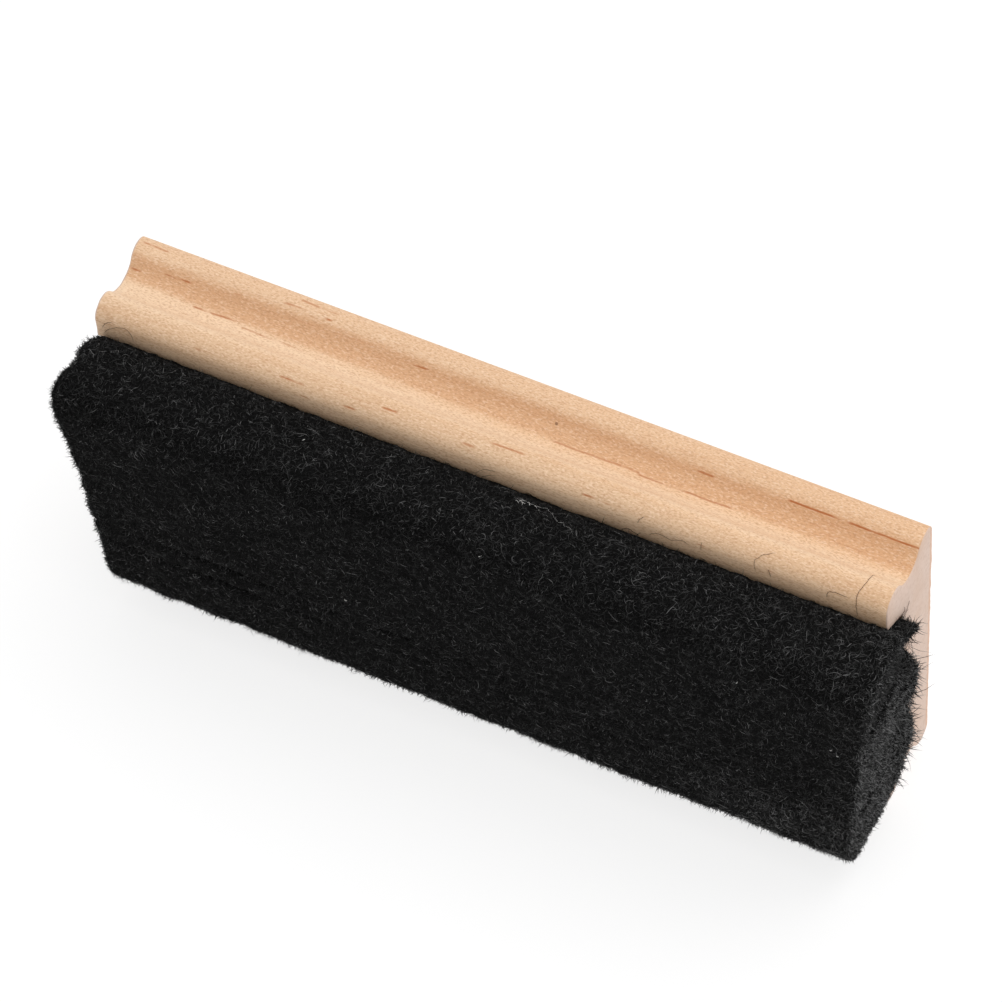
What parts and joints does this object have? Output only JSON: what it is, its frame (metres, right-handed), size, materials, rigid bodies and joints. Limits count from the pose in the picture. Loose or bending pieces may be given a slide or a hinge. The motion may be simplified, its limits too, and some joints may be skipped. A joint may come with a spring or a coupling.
{
  "type": "chalkboard eraser",
  "caption": "Hand-held board eraser: a long pine grip with a finger cove down each side over a thick layered black wool felt pad.",
  "frame": {"origin": "bottom centre of the bounding box, on the surface that the eraser stands on", "axes": "+X along the eraser; +Y out of the handle's crest, so the wiping face looks along -Y; +Z out of the long side that faces up, the eraser standing on its other long side"},
  "size_m": [0.1432, 0.0336, 0.06],
  "materials": {
    "pine": "sanded bare pine",
    "felt": "fuzzy black wool felt",
    "felt_core": "cut edges of black wool felt",
    "glue": "set hot-melt glue"
  },
  "bodies": {
    "root": {"handle": "pine", "glue_bed": "glue", "wrap_glue": "glue", "felt_wrap": "felt", "felt_core_1": "felt_core", "felt_core_2": "felt_core", "felt_core_3": "felt_core", "felt_far_inner": "felt", "felt_far_outer": "felt"}
  },
  "joints": []
}
